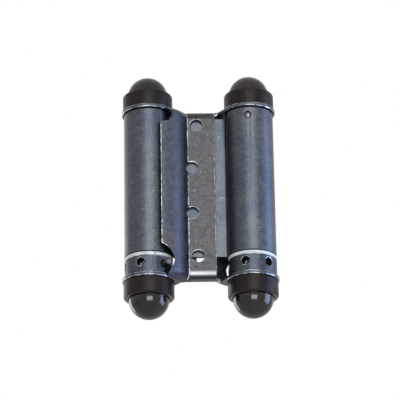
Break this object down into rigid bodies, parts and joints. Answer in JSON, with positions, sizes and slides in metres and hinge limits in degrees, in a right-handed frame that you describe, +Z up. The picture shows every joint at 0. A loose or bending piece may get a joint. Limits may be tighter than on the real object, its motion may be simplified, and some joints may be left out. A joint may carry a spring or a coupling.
{
  "type": "double-action spring hinge",
  "caption": "Double-action spring hinge: a rolled bridge with two spring tubes, and a pressed leaf on each tube that swings open and springs shut.",
  "frame": {"origin": "the middle of the folded hinge", "axes": "+Z up along the tubes, +X from the jamb tube to the door tube, -Y towards the jamb leaf's outer face"},
  "size_m": [0.0644, 0.0218, 0.107],
  "materials": {
    "zinc_sheet": "satin blue-grey zinc plate",
    "zinc_tube": "satin blue-grey zinc plate",
    "zinc_collar": "satin zinc plate",
    "turned_steel": "turned",
    "spring_steel": "oiled",
    "white_washer": "matt",
    "dark_cap": "semi-gloss dark brown"
  },
  "bodies": {
    "jamb": {"jamb_leaf": "zinc_sheet", "jamb_axle": "turned_steel", "jamb_top_nut": "turned_steel", "jamb_bottom_nut": "turned_steel", "jamb_top_cap": "dark_cap", "jamb_bottom_cap": "dark_cap", "jamb_washer": "white_washer", "jamb_tension_collar": "zinc_collar", "jamb_stop_pin": "turned_steel"},
    "bridge": {"bridge": "zinc_tube", "jamb_top_plug": "turned_steel", "door_top_plug": "turned_steel", "jamb_anchor_pin": "turned_steel", "door_anchor_pin": "turned_steel", "jamb_spring": "spring_steel", "door_spring": "spring_steel"},
    "door": {"door_leaf": "zinc_sheet", "door_axle": "turned_steel", "door_top_nut": "turned_steel", "door_bottom_nut": "turned_steel", "door_top_cap": "dark_cap", "door_bottom_cap": "dark_cap", "door_washer": "white_washer", "door_tension_collar": "zinc_collar", "door_stop_pin": "turned_steel"}
  },
  "joints": [
    {"name": "jamb_pivot", "type": "hinge", "parent": "jamb", "child": "bridge", "pos_m": [-0.0213, 0, 0], "axis": [0, 0, 1], "range_deg": [0, 180], "stiffness_Nm_per_rad": 0.25, "springref_deg": -45.84},
    {"name": "door_pivot", "type": "hinge", "parent": "bridge", "child": "door", "pos_m": [0.0213, 0, 0], "axis": [0, 0, -1], "range_deg": [0, 180], "stiffness_Nm_per_rad": 0.25, "springref_deg": -45.84}
  ]
}
